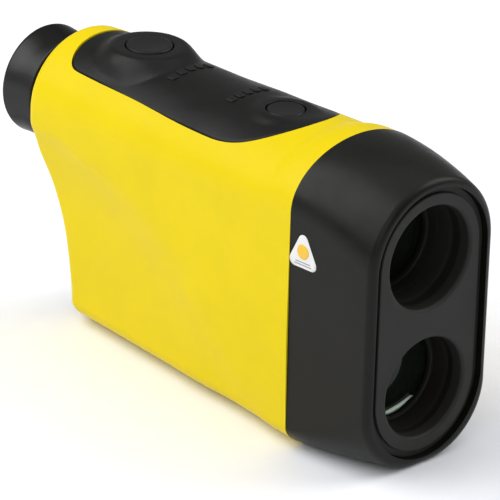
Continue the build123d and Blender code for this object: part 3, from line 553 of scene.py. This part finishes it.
def make_neck():
    """Smooth neck of the diopter ring with one fine groove."""
    low, high, middle = node_box("diopter_ring")
    r, front = (high.x - low.x) / 2, low.y
    groove = [(r, front + 1.2, 0.05), (r - NECK_GROOVE, front + 1.3, 0.05),
              (r - NECK_GROOVE, front + 1.6, 0.05), (r, front + 1.7, 0.05)]
    sleeve = [(r, front + NECK_LONG), (SLEEVE_R, front + NECK_LONG), (SLEEVE_R, high.y), (NECK_BORE, high.y)]
    points = [(NECK_BORE, front), (r, front, 0.35)] + groove + sleeve
    lathe("diopter_neck", points, middle, "Y", RING, "diopter", ["diopter_ring"], steps=EYE_STEPS)


# ---------------------------------------------------------------- wells
TRAP_PITCH, TRAP_DEEP = 0.8, 0.10       # of the fine rings that kill stray light
SPIGOT = 17.5                # length of each barrel inside the nose
STOP_R = 10.2                # clear radius of the shoulder that each lens rests on


def light_trap(r, y0, y1):
    """Fine saw-tooth rings along a bore."""
    count = int((y1 - y0) / TRAP_PITCH)
    profile = []
    for i in range(count):
        y = y0 + i * TRAP_PITCH
        profile += [(r, y), (r + TRAP_DEEP, y + TRAP_PITCH * 0.15)]
    return profile + [(r, y0 + count * TRAP_PITCH)]


def make_objective_barrel():
    """Stepped upper well and the barrel behind it."""
    low, high, middle = node_box("objective_barrel")
    front, back, outer = low.y, high.y, (high.x - low.x) / 2
    stop = front + 16.6
    bore = [(12.3, front, 0.2)] + light_trap(12.2, front + 0.6, front + 3.8)
    bore += [(11.8, front + 3.8), (11.8, front + 6.8), (11.4, front + 6.8), (11.4, stop)]
    inside = [(STOP_R, stop), (STOP_R, stop + 1.6), (11.3, stop + 1.6), (11.3, back - 1.4), (9.4, back - 1.4),
              (9.4, back)]
    outside = [(12.6, back), (12.6, front + SPIGOT), (outer, front + SPIGOT), (outer, front, 0.2)]
    lathe("objective_well", bore + inside + outside, middle, "Y", BARREL, "casing", ["objective_barrel"])


def make_receiver_barrel():
    """Stepped lower well and the funnel behind its lens, which narrows to the photodiode's seat."""
    low, high, middle = node_box("receiver_barrel")
    front, back, outer = low.y, high.y, (high.x - low.x) / 2
    stop = front + 11.8
    bore = [(11.8, front, 0.2)] + light_trap(11.75, front + 0.5, front + 2.5)
    bore += [(11.4, front + 2.8), (11.4, stop)]
    inside = [(STOP_R, stop), (STOP_R, stop + 1.6), (11.0, stop + 1.6), (11.0, front + 20.2), (4.0, back - 4.2),
              (4.0, back)]
    outside = [(7.5, back), (7.5, back - 3.0), (12.2, front + 24.2), (12.2, front + SPIGOT),
               (outer, front + SPIGOT), (outer, front, 0.2)]
    lathe("receiver_well", bore + inside + outside, middle, "Y", HOLDER, "casing", ["receiver_barrel"])


RETAINER_WALL = 0.95
HIGHLIGHT_ARC = (-114.0, -50.0)   # degrees round the receiver lens over which its polished edge is drawn as a pale arc, a painted highlight
HIGHLIGHT_WIDE = 1.5              # width of that arc at its middle
HIGHLIGHT_STEPS = 48


def make_retainer(node):
    """Threaded retaining ring in front of a lens."""
    low, high, middle = node_box(node)
    r = (high.x - low.x) / 2
    inner = r - RETAINER_WALL
    points = [(inner, low.y + 0.35), (inner + 0.3, low.y, 0.05), (r, low.y, 0.08), (r, high.y), (inner, high.y)]
    lathe(node + "_ring", points, middle, "Y", BARREL, "casing", [node])


def make_lens_highlight(node):
    """Pale arc inside the retaining ring, tapered to both ends: a painted highlight standing for the lit
    polished edge of the lens.
    """
    low, high, middle = node_box(node)
    inner = (high.x - low.x) / 2 - RETAINER_WALL
    verts, faces = [], []
    for k in range(HIGHLIGHT_STEPS + 1):
        t = k / HIGHLIGHT_STEPS
        angle = math.radians(HIGHLIGHT_ARC[0] + (HIGHLIGHT_ARC[1] - HIGHLIGHT_ARC[0]) * t)
        wide = HIGHLIGHT_WIDE * math.sin(math.pi * t) ** 0.6
        outer = inner - 0.02 - 0.55 * t
        for radius, y in ((outer, high.y - 0.30), (outer - wide, high.y - 0.95),
                          (outer - wide, high.y + 0.10), (outer, high.y + 0.10)):
            verts.append((middle.x + radius * math.cos(angle), y, middle.z + radius * math.sin(angle)))
    for k in range(HIGHLIGHT_STEPS):
        for i in range(4):
            j = (i + 1) % 4
            faces.append((4 * k + i, 4 * k + j, 4 * k + 4 + j, 4 * k + 4 + i))
    add_piece(node + "_lens_edge_highlight", verts, faces, LENS_EDGE_HIGHLIGHT, "casing")


# ---------------------------------------------------------------- label
DECAL_RINGS = 6
DECAL_THICK = 0.06
DECAL_CURL = 0.03            # how far a decal's edge lies closer to the flank


def decal(name, outline, centre, lift, material, replaces=()):
    """Thin film on the nose's right-hand flank, its outline given as (y, z) round a centre."""
    tree = bvhtree.BVHTree.FromObject(NODES["nose_cover"], bpy.context.evaluated_depsgraph_get())

    def on_flank(y, z, inward):
        hit = tree.ray_cast(Vector((-50 * MM, y * MM, z * MM)), Vector((1, 0, 0)))[0]
        return (hit.x / MM - lift + inward, y, z)

    verts, faces = [], []
    for inward in (0.0, DECAL_THICK):
        for k in range(1, DECAL_RINGS + 1):
            curl = DECAL_CURL if k == DECAL_RINGS else 0.0
            for y, z in outline:
                out_y = centre[0] + (y - centre[0]) * k / DECAL_RINGS
                out_z = centre[1] + (z - centre[1]) * k / DECAL_RINGS
                verts.append(on_flank(out_y, out_z, inward + curl))
        verts.append(on_flank(*centre, inward))
    n = len(outline)
    layer = DECAL_RINGS * n + 1
    last = layer - 1 - n
    for base in (0, layer):
        for i in range(n):
            j = (i + 1) % n
            faces.append((base + i, base + j, base + layer - 1))
            for a in range(base, base + last, n):
                faces.append((a + i, a + n + i, a + n + j, a + j))
    faces += [(last + i, last + (i + 1) % n, layer + last + (i + 1) % n, layer + last + i) for i in range(n)]
    add_piece(name, verts, faces, material, "casing", replaces)


def round_corners(corners, radius, steps=10):
    """Convex outline with an arc of the given radius round each corner point."""
    points = []
    count = len(corners)
    for i, corner in enumerate(corners):
        here = Vector(corner)
        before = (here - Vector(corners[i - 1])).normalized()
        after = (Vector(corners[(i + 1) % count]) - here).normalized()
        start = math.atan2(-before.x, before.y)
        end = math.atan2(-after.x, after.y)
        turn = (start - end) % (2 * math.pi)
        sign = -1
        if turn > math.pi:
            turn, sign = 2 * math.pi - turn, 1
        for k in range(steps + 1):
            angle = start + sign * turn * k / steps
            outward = Vector((math.cos(angle), math.sin(angle))) * radius
            points.append(tuple(here - outward if sign < 0 else here + outward))
    return points


CORNER_R = 1.4               # of the label's film
DISC_R, DISC_STEPS = 1.75, 48
BAR_HALF_HIGH = 0.14


def make_label():
    """Blank triangular label: white film, amber disc, two grey bars."""
    low, high, middle = node_box("laser_label")
    corners = [(high.y - CORNER_R, low.z + CORNER_R), (middle.y, high.z - CORNER_R),
               (low.y + CORNER_R, low.z + CORNER_R)]
    centre = (middle.y, low.z + (high.z - low.z) * 0.42)
    decal("label_film", round_corners(corners, CORNER_R), centre, 0.13, LABEL, ["laser_label"])
    disc_z = centre[1] + 0.55
    angles = [2 * math.pi * k / DISC_STEPS for k in range(DISC_STEPS)]
    disc = [(centre[0] + DISC_R * math.cos(a), disc_z + DISC_R * math.sin(a)) for a in angles]
    decal("label_disc", disc, (centre[0], disc_z), 0.17, LABEL_MARK)
    for name, z, half in (("label_bar_upper", low.z + 1.35, 2.2), ("label_bar_lower", low.z + 0.75, 2.5)):
        left, right = middle.y - half, middle.y + half
        under, over = z - BAR_HALF_HIGH, z + BAR_HALF_HIGH
        bar = [(left, under), (right, under), (right, over), (left, over)]
        decal(name, bar, (middle.y, z), 0.16, LABEL_BAR)


make_top_panel()
make_dashes()
make_key("measure_button", "measure_key")
make_key("mode_button", "mode_key")
make_eyecup()
make_neck()
make_objective_barrel()
make_receiver_barrel()
make_retainer("objective_retainer")
make_retainer("receiver_retainer")
# painted highlight: a pale arc on one part of the receiver lens's edge
make_lens_highlight("receiver_retainer")
make_label()


# ---------------------------------------------------------------- floor, light and camera
FLOOR_HALF = 3.0
FLOOR_DROP = 0.0002          # the floor lies this far below the object's feet
WORLD_STRENGTH = 0.27
# name: place, aim, side of the square panel, power in watts
LIGHTS = {
    "key": ((-0.57, 0.44, 0.72), (0, 0, 0.03), 1.0, 9.7),
    "fill": ((-0.55, -0.62, 0.55), (0, 0, 0.03), 0.60, 1.6),
    "overhead": ((0.15, -0.05, 1.10), (0, 0, 0.04), 1.3, 3.8),
    "right": ((0.95, -0.55, 0.85), (0.20, -0.15, 0), 0.9, 7.5),
}


def area_light(name, place, aim, size, power):
    data = bpy.data.lights.new(name, "AREA")
    data.shape = "RECTANGLE"
    data.size = data.size_y = size
    data.energy = power
    light = bpy.data.objects.new(name, data)
    SCENE.collection.objects.link(light)
    light.location = place
    light.rotation_euler = (Vector(aim) - Vector(place)).to_track_quat("-Z", "Y").to_euler()


def build_floor():
    mesh = bpy.data.meshes.new("floor")
    h = FLOOR_HALF
    mesh.from_pydata([(-h, -h, 0), (h, -h, 0), (h, h, 0), (-h, h, 0)], [], [(0, 1, 2, 3)])
    floor = bpy.data.objects.new("floor", mesh)
    SCENE.collection.objects.link(floor)
    floor.location.z = -FLOOR_DROP
    mesh.materials.append(moulded("floor_white", (0.94, 0.95, 0.99), 0.6, 0.0008, 0.00001, 0.01))


def build_lights():
    world = bpy.data.worlds.new("studio")
    SCENE.world = world
    world.use_nodes = True
    background = world.node_tree.nodes["Background"]
    background.inputs["Color"].default_value = (1, 1, 1, 1)
    background.inputs["Strength"].default_value = WORLD_STRENGTH
    for name, settings in LIGHTS.items():
        area_light(name, *settings)


AZIMUTH = math.radians(-43.32)      # the camera looks along +Y at azimuth 0
ELEVATION = math.radians(24.24)
ROLL = math.radians(1.813)
AIM = Vector((6.44, 0.0, 27.19)) * MM
DISTANCE = 1.1275                   # metres
LENS = 355.36                       # focal length and sensor width in millimetres
SENSOR = 36.0


def build_camera():
    data = bpy.data.cameras.new("camera")
    data.lens = LENS
    data.sensor_width = SENSOR
    data.clip_start = 0.01
    camera = bpy.data.objects.new("camera", data)
    SCENE.collection.objects.link(camera)
    right = Vector((math.cos(AZIMUTH), math.sin(AZIMUTH), 0))
    ahead = Vector((-math.sin(AZIMUTH) * math.cos(ELEVATION), math.cos(AZIMUTH) * math.cos(ELEVATION),
                    -math.sin(ELEVATION)))
    up = right.cross(ahead)
    x = right * math.cos(ROLL) + up * math.sin(ROLL)
    y = up * math.cos(ROLL) - right * math.sin(ROLL)
    turn = Matrix((x, y, -ahead)).transposed().to_4x4()
    camera.matrix_world = Matrix.Translation(AIM - ahead * DISTANCE) @ turn
    SCENE.camera = camera


SCENE.view_settings.view_transform = "Standard"
build_floor()
build_lights()
build_camera()
